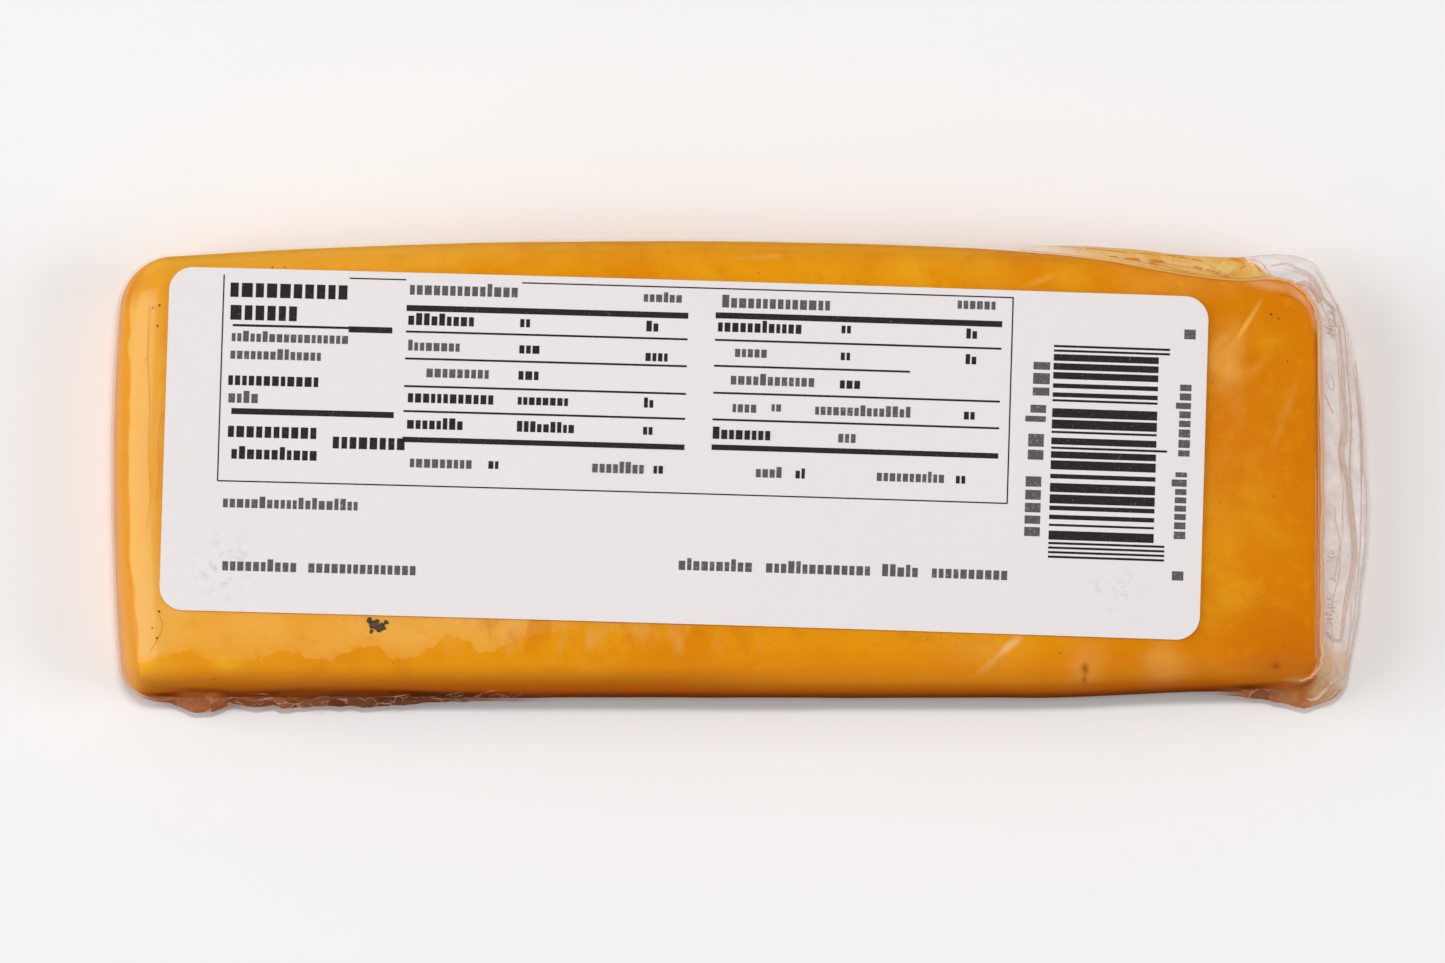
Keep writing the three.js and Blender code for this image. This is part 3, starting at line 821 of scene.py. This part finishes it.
TAIL_LINES = [  # half width, then corner points of the path: x, y
    (0.09, ((87.3, 24.8), (87.4, 21.5), (87.7, 18.9), (87.9, 16.4), (88.1, 12.5), (88.3, 8.5),
            (88.4, 6.6), (88.1, 4.4), (87.8, 2.8), (88.3, 0.9), (88.4, -1.1), (88.7, -2.2), (88.4, -4.9),
            (88.6, -7.6), (88.3, -10.2), (88, -12.9), (88.2, -14.5), (87.3, -17.2), (86.7, -20),
            (86.7, -22.2), (87, -25))),
    (0.5, ((88, 22), (88.3, 18), (88.5, 13.7), (88.8, 8.9), (88.9, 6.5), (88.4, 4.1), (88.2, 2.9),
           (88.6, 1.2), (89.1, -0.8), (89.4, -3.2), (89.6, -5.6), (89.8, -8), (90.1, -10.5),
           (90.2, -12.9), (89.4, -16), (88.7, -20), (88.3, -24))),
    (0.1, ((88.9, 21), (89.3, 14), (89.9, 9), (89.7, 4), (89.5, 1), (90, -4), (90.6, -9), (90.7, -13))),
    (0.08, ((90.3, 15), (91, 9), (91.3, 3), (91.3, -4), (91.1, -11), (90.6, -17), (90, -22))),
    (0.12, ((90.4, 17), (91.1, 11), (91.4, 6), (91.5, 0))),
    (0.08, ((87.4, -4.6), (87.3, -6.9), (87.9, -8.5), (88.1, -10.5), (87.7, -13), (87.2, -16))),
    (0.12, ((85.8, 11.4), (86.4, 10.3), (87.1, 8.9))),
    (0.07, ((86.1, 13.7), (86.5, 12.4), (87.2, 12), (87.3, 13.4), (86.8, 14.6))),
    (0.25, ((86, -23.5), (87.5, -24.5), (88.6, -24))),
]
TAIL_FOLDS = [  # share of the way out, from place, to place, half width, waver
    (0.45, 2.0, 2.8, 0.1, 0.1), (0.62, 2.05, 2.9, 0.3, 0.1), (0.9, 1.9, 2.6, 0.1, 0.03),
    (0.35, 0.3, 1.0, 0.1, 0.1), (0.6, 0.15, 1.0, 0.3, 0.1), (0.85, 0.4, 1.2, 0.1, 0.05),
]
BACK_PLEATS = [  # half width, then corner points of the path: x, y
    (0.09, ((46, 33.6), (52.6, 33.2), (55.3, 32.8), (58, 32.6), (61.3, 32.5), (63.5, 32.3), (65.2, 32),
            (67.4, 31.6), (68.7, 31.2), (69.5, 30.5), (70.6, 29.6), (71.7, 28.8))),
    (0.09, ((64.6, 31.5), (65.7, 30.5), (67.6, 30.3), (69.5, 29.8), (71.2, 29), (72.5, 28.6))),
    (0.1, ((70.2, 31.1), (70.6, 31.7), (71.7, 32), (72.8, 31.8), (73.9, 31.2), (74.3, 30.7), (73.4, 30.2),
           (71.7, 29.4))),
    (0.08, ((74.4, 31.6), (75.5, 31.8), (76.8, 31.1), (77.3, 30), (78.1, 28.8))),
    (0.14, ((58.6, 32), (59, 31.4), (61, 31.2), (63, 31.3), (64.4, 31.7))),
    (0.12, ((54, 31.9), (57, 31.8), (60, 30.9), (63, 30.5), (66, 29.7))),
    (0.2, ((56, 31.6), (60, 31.5), (65, 30.9), (69, 29.8))),
    (0.15, ((75, 31.3), (76, 30.6), (76.8, 29))),
]
CORNER_LOOP = (  # x, y, z
    (81.2, 26.4, 15.4), (81.9, 27.4, 14.8), (82.9, 27.7, 14.6), (83.8, 27.2, 14.6), (84.6, 26, 14.6),
    (85, 24.6, 14.6),
)
CRACKED_ENDS = ((19.5, 25), (-22.5, -10.5))  # y, at the back and at the front of the tail
CRACKS_PER_END = 26
CRACKS_FROM_X = (85.8, 87)
CRINKLED_PLACES = (7.05, 7.32)
CRINKLE_COUNT = 36


def on_back(x, y, lift=0.15):
    """Points on the upper skin of the margin behind the block, near its right end."""
    outline_x, outline_y, _, _ = block_plan(np.linspace(2, 4, 600))
    foot_y = np.interp(x, outline_x[::-1], outline_y[::-1])
    share = (y - foot_y) / margin_width(x, foot_y)
    return on_margin_at(x, foot_y, 0, 1, RIGHT_EDGE_REACH, share, lift)


def on_tail(x, y, lift=0.1):
    """Points on the upper skin of the tail beside the straight right end."""
    foot_x = BLOCK_X + HALF_X
    share = (x - foot_x) / margin_width(foot_x, y)
    return on_margin_at(foot_x, y, 1, 0, RIGHT_EDGE_REACH, share, lift)


def tail_cracks():
    """Short curved cracks across the film close to the block, at the tail's two ends, by seed."""
    random = np.random.default_rng(51)
    share = np.linspace(0, 1, 16)
    paths = []
    for low, high in CRACKED_ENDS:
        for y in random.uniform(low, high, CRACKS_PER_END):
            x = random.uniform(*CRACKS_FROM_X) + share * random.uniform(0.5, 1.3)
            bend = random.uniform(-0.5, 0.5) * np.sin(math.pi * share)
            paths.append(on_tail(x, y + bend, 0.08))
    return strip_skins(paths, random.uniform(0.05, 0.1, len(paths)), 0.05)


def tail_folds():
    """Paths round the tail's two corners, each keeping its share of the way out but wavering with
    seeded noise."""
    paths = []
    for number, (share, start, stop, _, waver) in enumerate(TAIL_FOLDS):
        place = np.linspace(start, stop, 90)
        swing = waver * unevenness(place * 9, number * 3, 1, 31)
        lift = 0.15 + 0.15 * unevenness(place * 12, number * 5, 1, 32)
        paths.append(on_margin(place, share + swing - 0.06, lift))
    return strip_skins(paths, [fold[3] for fold in TAIL_FOLDS], 0.08)


def crinkles():
    """Short bent slivers where the film is crumpled in front at the left, laid by seed mostly along
    the edge."""
    random = np.random.default_rng(41)
    way = np.linspace(-1, 1, 16)
    paths = []
    for start in random.uniform(*CRINKLED_PLACES, CRINKLE_COUNT):
        along, outward = random.uniform(-0.01, 0.01), random.uniform(-0.3, 0.3)
        bend = random.uniform(-0.3, 0.3) * np.cos(math.pi * way / 2)
        share = random.uniform(0.35, 0.75) + outward * way / 2 + bend
        paths.append(on_margin(start + along * way, np.clip(share, 0.1, 0.85), 0.35))
    half_widths = random.uniform(0.02, 0.05, CRINKLE_COUNT)
    return strip_skins(paths, half_widths, random.uniform(0.03, 0.06, CRINKLE_COUNT))


tail_lines = drawn_strips(TAIL_LINES, on_tail, 0.07)
corner_loop = strip_skins([smooth_path(CORNER_LOOP)], 0.4, 0.12)
back_pleats = np.concatenate([drawn_strips(BACK_PLEATS, on_back, 0.12), corner_loop])
folds = closed_mesh("film_folds", tail_lines, tail_cracks(), tail_folds(), back_pleats, crinkles())


def fold_finish():
    """Doubled film, milky in patches and faintly glossy: beige, yellow behind the block, paler in
    front, and orange in the loop at the back right corner."""
    skin = Finish("doubled_film")
    edge_on = skin.add("LayerWeight", {"Blend": 0.5}, "Facing")
    at_tail = skin.along("X", 84.5, 87)
    at_flap = skin.product(skin.along("Y", 26, 28), skin.along("X", 79, 77))
    in_front = skin.product(skin.along("Y", -20, -28), skin.ramp(at_tail, 0, 1, 1, 0))
    loop = skin.spot(82.9, 26.3, 3.2, 2, 1, -30)
    face_on = skin.blend(at_flap, (0.96, 0.91, 0.88, 1), (0.99, 0.94, 0.8, 1))
    lined = skin.blend(at_flap, (0.91, 0.82, 0.77, 1), (0.96, 0.84, 0.6, 1))
    through = skin.blend(skin.ramp(edge_on, 0.05, 0.9), face_on, lined)
    skin.colour = (0.8, 0.66, 0.59, 1)
    skin.paint(at_flap, skin.blend(skin.patches(2, 2, 0.45, 0.55), (232, 160, 76), (252, 224, 168)))
    skin.paint(in_front, (0.86, 0.72, 0.64, 1))
    skin.paint(loop, (230, 152, 76))
    haze = skin.total(
        skin.patches(2.5, 3, 0.3, 0.75, 0.05, 0.25), skin.product(at_flap, 0.5), skin.product(loop, 0.7),
        skin.product(at_tail, skin.patches(5, 2, 0.35, 0.6, 0.1, 0.4)),
        skin.product(in_front, skin.patches(1.5, 2, 0.4, 0.7, 0.1, 0.45)),
    )
    return skin.clear(through, haze, 0.006, 0.28)


folds.data.materials.append(fold_finish())
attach(folds, "root")


# The rolled edge of the film
# A thin peach-coloured roll of drawn film lies along the block's upper edge, from the front right
# corner round the right end to the back. It is one strip on the film's edge.
ROLL_END_PLACE = 3.22
ROLL_HALF_WIDTH = 0.3
ROLL_HALF_HEIGHT = 0.25


def edge_roll():
    """A path on the film's rounded edge that wavers by seeded noise; along the back it lies further
    in and higher."""
    place = np.linspace(0, ROLL_END_PLACE, 330)
    at_back = ease(1.6, 2.2, place)
    waver = 0.1 + 0.12 * unevenness(place * 20, 0, 1, 33) - 0.5 * at_back
    x, y, out_x, out_y = block_plan(place)
    height = crown(x, y) - mix(0.75, 0.2, at_back) * edge_reach(place)
    path = points_at(x + waver * out_x, y + waver * out_y, height)
    return strip_skins([path], ROLL_HALF_WIDTH, ROLL_HALF_HEIGHT)


roll = closed_mesh("film_roll", edge_roll())


def roll_finish():
    """Milky film, peach with the orange of the cheese under it."""
    skin = Finish("rolled_film")
    skin.colour = skin.blend(skin.noise(4, 3), (236, 172, 118), (234, 192, 160))
    skin.paint(skin.along("Y", 22, 26), (250, 180, 104))
    return skin.clear((0.97, 0.82, 0.66, 1), 0.8, 0.01, 0.3)


roll.data.materials.append(roll_finish())
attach(roll, "root")


# Creases over the top
# A few fine creases where the film is drawn over the block's top, seen as darker lines. They are the
# same thin strips, on the crowned top.
TOP_CREASES = [  # half width, then corner points of the path: x, y
    (0.1, ((-86.4, 24), (-86.9, 16), (-86.2, 9), (-86.8, 2), (-86, -4), (-86.9, -9))),
    (0.07, ((-84.6, 8), (-85.4, 4), (-84.8, -1), (-85.6, -5))),
    (0.08, ((-85, -21.8), (-84.2, -23.6), (-85.2, -25.4), (-86.4, -27.4))),
    (0.09, ((79.2, 25.6), (81.4, 25.2), (83.4, 23.4), (84.2, 21))),
]


def on_top(x, y):
    """Points on the film's top."""
    return points_at(x, y, crown(x, y) - dimples(x, y, 18))


half_heights = [0.4 * half_width for half_width, _ in TOP_CREASES]
creases = closed_mesh("film_creases", drawn_strips(TOP_CREASES, on_top, half_heights))
creases.data.materials.append(Finish("creased_film").clear((0.94, 0.83, 0.68, 1), 0, 0.01, 0.2))
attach(creases, "root")


# The paper label
# A white coated paper label with rounded corners, stuck on the film a little askew. It is a thin
# closed plate that keeps the crown of the top.
LABEL_LENGTH = 152.4
LABEL_WIDTH = 50.8
LABEL_CORNER = 3.5
LABEL_X = -8.1
LABEL_Y = 2
LABEL_TURN = math.radians(-1.73)
PAPER_THICKNESS = 0.12
PAPER_LIFT = 0.06


def on_label(along, up, lift):
    """Points of the label's own plan, from its middle, set on the crowned top and lifted."""
    x = LABEL_X + along * math.cos(LABEL_TURN) - up * math.sin(LABEL_TURN)
    y = LABEL_Y + along * math.sin(LABEL_TURN) + up * math.cos(LABEL_TURN)
    return points_at(x, y, crown(x, y) + lift)


def label_surface():
    """Rings from the middle of the upper face to its rim and back below to the middle."""
    face, rim, back = stretches(12, 1, 11)
    place, radii = places_round(24, 60, 24, 60, 12), np.full(4, LABEL_CORNER)
    along, up, _, _ = rounded_outline(place, 0, LABEL_LENGTH / 2, LABEL_WIDTH / 2, radii)
    scale = (1 - (1 - face) ** 3) * (1 - back * 0.9)
    return on_label(along * scale, up * scale, PAPER_LIFT + PAPER_THICKNESS * (1 - rim))


label = closed_mesh("paper_label", label_surface()[None])


def paper_finish():
    """Warm white coated paper with faint mottling and a few grey rubs near its lower edge."""
    paper = Finish("coated_paper")
    paper.colour = paper.blend(paper.noise(30, 3), (238, 231, 230), (233, 227, 228))
    paper.paint(paper.patches(0.5, 4, 0.35, 0.75, 0, 0.08), (205, 196, 194))
    rub = paper.spots((-76, -15, 6, 7), (55.5, -19, 5, 5, 0.7))
    rub = paper.product(rub, paper.patches(1.2, 5, 0.48, 0.7, 0, 0.3))
    paper.paint(rub, (150, 138, 136))
    relief = paper.bump(paper.noise(0.4, 4), 0.01, 0.3)
    return paper.solid({"Roughness": 0.55, "Specular IOR Level": 0.25, "Normal": relief})


label.data.materials.append(paper_finish())
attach(label, "root")
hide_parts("label")


# The print
# Black ink on the paper: a ruled table in three columns, filled with rows of plain blocks, and a
# field of bars. Every mark is a thin closed box that stands just above the paper.
INK_ABOVE = 0.03
INK_BELOW = 0.03
RULES = [  # left, right, middle height, thickness
    (-68.2, 47.5, -6.2, 0.2), (-49.8, -41.5, 24.3, 0.2), (-24.5, 47.5, 24.3, 0.2),
    (-66.7, -49.7, 16.9, 0.35), (-49.7, -43.3, 16.7, 0.9), (-66.5, -42.7, 4.15, 0.9),
    (-41.3, 0, 20.1, 0.9), (-41.3, 0, 16.6, 0.3), (-41.3, 0, 12.6, 0.3), (-41.3, 0, 8.5, 0.3),
    (-41.3, 0, 4.8, 0.3), (-41.3, 0, 0.6, 0.8), (4, 46, 20.3, 0.9), (4, 46, 16.65, 0.3),
    (4, 32.7, 12.8, 0.3), (4, 46, 8.8, 0.3), (4, 46, 4.85, 0.3), (4, 46, 0.75, 0.8),
]
UPRIGHTS = [(-68.2, -6.2, 24.4, 0.2), (47.5, -6.2, 24.4, 0.2)]  # middle, bottom, top, thickness
BOLD_ROWS = [  # left, right, bottom, top
    (-67.2, -49.6, 21.1, 23.9), (-67.1, -56.9, 17.7, 20.6), (-67.1, -53.6, 8, 9.9),
    (-66.9, -53.6, 0.3, 2.5), (-51.5, -40.6, -1, 1.3), (-66.3, -53.5, -2.9, -1), (-41, -31.1, 17.6, 19.4),
    (-40.7, -27.9, 6.1, 7.9), (-40.7, -32.3, 2.2, 3.9), (-24.6, -17, 6.2, 7.7), (-24.6, -16, 2.2, 3.8),
    (4.4, 16.9, 17.9, 19.7), (4.1, 12.8, 2, 3.8), (-24.6, -22.9, 17.7, 19.3), (-24.6, -21.4, 13.8, 15.4),
    (-24.6, -21.4, 9.9, 11.6), (-6.1, -4.1, 17.6, 19.2), (-6.1, -2.6, 13.2, 14.8), (-6.1, -4.5, 6.3, 7.8),
    (-6.1, -4.5, 2.3, 3.8), (40.8, 42.6, 18, 19.5), (40.8, 42.6, 14.2, 15.7), (40.8, 42.6, 6, 7.5),
    (22.5, 24.1, 18.2, 19.7), (22.5, 24.1, 14.2, 15.7), (22.5, 25.7, 10, 11.6),
    (-28.6, -26.9, -3.4, -1.9), (-4.4, -2.8, -3.4, -1.9), (16.4, 18, -3.5, -2), (39.9, 41.5, -3.5, -2),
]
LIGHT_ROWS = [  # left, right, bottom, top
    (-66.8, -49.5, 14.5, 16.1), (-66.9, -53.4, 11.9, 13.5), (-67, -62.4, 5.4, 7.2),
    (-40.9, -24.8, 22.1, 24), (-6.6, -0.8, 22, 23.5), (-40.9, -33.1, 13.8, 15.4),
    (-38.1, -28.7, 9.9, 11.6), (-40.1, -30.8, -3.5, -1.8), (-13.4, -5.6, -3.5, -1.8),
    (4.9, 21, 21.5, 23.4), (39.4, 45.2, 22.4, 24), (7, 11.9, 14.2, 15.8), (6.5, 19, 10.1, 11.8),
    (6.9, 10.6, 6, 7.6), (12.6, 14.2, 6.3, 7.7), (19, 33.2, 6, 7.6), (22.5, 25.3, 2, 3.7),
    (10.6, 14.6, -3.5, -1.9), (28.3, 38.4, -3.5, -1.9), (-67.3, -47.3, -10.1, -8.4),
    (-67.1, -56, -19.4, -17.6), (-54.5, -38.5, -19.4, -17.6), (-0.3, 10.7, -17.5, -15.7),
    (12.5, 28, -17.5, -15.7), (29.5, 35, -17.5, -15.7), (36.8, 48.1, -17.5, -15.7),
]
SIDE_ROWS = [  # left, right, bottom, top of rows that run upwards
    (49.4, 52.4, -10.9, -1.6), (49.6, 52.6, 0.4, 4.7), (49.8, 52.8, 6, 9), (50, 53.2, 9.9, 15.4),
    (71.4, 73.6, -16.7, -15), (71.5, 73.7, -10.6, -0.4), (71.8, 74, 1.6, 12.6), (72.2, 74.4, 19, 20.8),
]
MARK_WIDTHS = (0.8, 1.15)  # of the blocks in a row, against each other
MARK_PITCH = 0.6  # of the blocks, as a share of the row's height, as are the two below
MARK_GAP = 0.16
LOW_MARK = 0.76
LONGEST_BOX = 8
BARS_LEFT = 53.7
BARS_RIGHT = 69.1
GUARD_RIGHT = 70.7
BARS_BOTTOM = -14
BARS_TOP = 17.8
BAR_STEP = 0.335
GUARD_SHARE = 0.08  # of the field at each end, where the bars are longer


def row_of_blocks(left, right, bottom, top, random, share_high, upwards=False):
    """A row of plain blocks of uneven width with narrow gaps; some reach the full height."""
    length, height = (top - bottom, right - left) if upwards else (right - left, top - bottom)
    widths = random.uniform(*MARK_WIDTHS, max(1, round(length / (MARK_PITCH * height))))
    ends = np.cumsum(widths) / widths.sum() * length
    starts = np.concatenate([[0], ends[:-1]])
    ends = ends - MARK_GAP * height
    tall = np.where(random.random(len(widths)) < share_high, 1, LOW_MARK) * height
    if upwards:
        return np.stack([right - tall, right + 0 * tall, bottom + starts, bottom + ends], axis=-1)
    return np.stack([left + starts, left + ends, bottom + 0 * tall, bottom + tall], axis=-1)


def bar_blocks(random):
    """Bars of seeded widths with seeded gaps, one above another; the pairs at both ends and in the
    middle are longer."""
    blocks, low = [], BARS_BOTTOM
    while low < BARS_TOP - BAR_STEP:
        share = (low - BARS_BOTTOM) / (BARS_TOP - BARS_BOTTOM)
        guard = share < GUARD_SHARE or share > 1 - GUARD_SHARE or abs(share - 0.5) < 0.02
        thick = BAR_STEP * (1 if guard else random.choice([1, 1, 2, 2, 3, 4]))
        high = min(low + thick, BARS_TOP)
        blocks.append((BARS_LEFT, GUARD_RIGHT if guard else BARS_RIGHT, low, high))
        low = high + BAR_STEP * (1 if guard else random.choice([1, 1, 1, 2, 2, 3]))
    return np.array(blocks)


def ink_boxes(blocks):
    """Each block (left, right, bottom, top) cut into boxes no longer than the longest, so that they
    keep the label's crown: two rings of four corners, above and below the paper's surface."""
    cut = []
    for left, right, bottom, top in blocks:
        across = np.linspace(left, right, 1 + math.ceil((right - left) / LONGEST_BOX))
        upwards = np.linspace(bottom, top, 1 + math.ceil((top - bottom) / LONGEST_BOX))
        cut += [(a, b, c, d) for a, b in zip(across, across[1:]) for c, d in zip(upwards, upwards[1:])]
    left, right, bottom, top = np.array(cut).T[..., None]
    along = np.concatenate([left, right, right, left], axis=1)[:, None]
    up = np.concatenate([bottom, bottom, top, top], axis=1)[:, None]
    face = PAPER_LIFT + PAPER_THICKNESS
    lift = np.array([face + INK_ABOVE, face - INK_BELOW])[None, :, None]
    return on_label(along, up, lift)


random = np.random.default_rng(8)
black = [
    np.array([(left, right, y - thick / 2, y + thick / 2) for left, right, y, thick in RULES]),
    np.array([(x - thick / 2, x + thick / 2, low, high) for x, low, high, thick in UPRIGHTS]),
]
black += [row_of_blocks(*row, random, 0.15) for row in BOLD_ROWS]
black += [bar_blocks(random)]
grey = [row_of_blocks(*row, random, 0.12) for row in LIGHT_ROWS]
grey += [row_of_blocks(*row, random, 0.15, upwards=True) for row in SIDE_ROWS]
black_print = closed_mesh("black_print", ink_boxes(np.concatenate(black)))
grey_print = closed_mesh("grey_print", ink_boxes(np.concatenate(grey)))


def ink_finish(name, full, worn):
    """Matte ink, thinner in specks where the printer left the paper showing."""
    ink = Finish(name)
    ink.colour = ink.blend(ink.patches(0.35, 3, 0.55, 0.8), full, worn)
    return ink.solid({"Roughness": 0.6, "Specular IOR Level": 0.2})


black_print.data.materials.append(ink_finish("black_ink", (24, 21, 22), (80, 76, 76)))
grey_print.data.materials.append(ink_finish("thin_ink", (88, 84, 84), (160, 154, 154)))
for marks in (black_print, grey_print):
    marks.data.shade_flat()
    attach(marks, "root")


# The table and the light
# A plain pale table, a broad soft box at the left, a smaller one at the right and a small strong lamp
# high overhead; the sky is pale at the horizon and dark overhead, as a studio ceiling is.
def table_finish():
    """Plain matte white board with the faintest mottling."""
    board = Finish("white_board")
    board.colour = board.blend(board.noise(60, 2), (0.93, 0.925, 0.92, 1), (0.95, 0.948, 0.945, 1))
    return board.solid({"Roughness": 0.8, "Specular IOR Level": 0.1})


TABLE_HALF = 3000
corner_points = np.array([(-1, -1, 0), (1, -1, 0), (1, 1, 0), (-1, 1, 0)]) * TABLE_HALF * MM
table = mesh_object("table", corner_points, (np.array([[0, 1, 2, 3]]),))
table.data.materials.append(table_finish())


def facing(name, data, aim, azimuth, elevation, distance):
    """A lamp or camera that looks at the aim from a direction in degrees, azimuth 0 in front and 90
    at the right; aim and distance are in metres."""
    made = bpy.data.objects.new(name, data)
    scene.collection.objects.link(made)
    turn, lift = math.radians(azimuth), math.radians(elevation)
    away = np.array([math.sin(turn) * math.cos(lift), -math.cos(turn) * math.cos(lift), math.sin(lift)])
    made.location = aim + away * distance
    made.rotation_euler = (math.pi / 2 - lift, 0, turn)
    return made


def soft_box(name, azimuth, elevation, distance, size, radiance):
    """A rectangular lamp that faces the pack; its power is pi times area times radiance."""
    lamp = bpy.data.lights.new(name, "AREA")
    lamp.shape = "RECTANGLE"
    lamp.size, lamp.size_y = size
    lamp.energy = math.pi * size[0] * size[1] * radiance
    facing(name, lamp, np.zeros(3), azimuth, elevation, distance)


soft_box("left_box", 270, 33, 1.3, (1.0, 1.55), 2.2)
soft_box("right_box", 80, 35, 1.3, (0.7, 0.9), 2.6)
soft_box("overhead_lamp", 180, 82.5, 1.5, (0.25, 0.09), 112)

sky = Finish("studio", bpy.data.worlds)
upward = sky.add("SeparateXYZ", {0: sky.add("TexCoord", {}, "Generated")}, "Z")
background = sky.add("Background", {"Strength": sky.ramp(upward, 0.6, 0.97, 0.34, 0.08)})
scene.world = sky.finish(background, "OutputWorld")
scene.view_settings.view_transform = "Standard"

# The camera looks down on the pack from the front, almost from above, through a long lens.
CAMERA_ELEVATION = 82.5
CAMERA_DISTANCE = 6000
AIM = np.array([-2.49, -2.46, 20])
VIEW_WIDTH = 211.6
lens = bpy.data.cameras.new("camera")
lens.sensor_width = 36
lens.lens = lens.sensor_width * CAMERA_DISTANCE / VIEW_WIDTH
lens.clip_start = 0.05
lens.clip_end = 20
scene.camera = facing("camera", lens, AIM * MM, 0, CAMERA_ELEVATION, CAMERA_DISTANCE * MM)
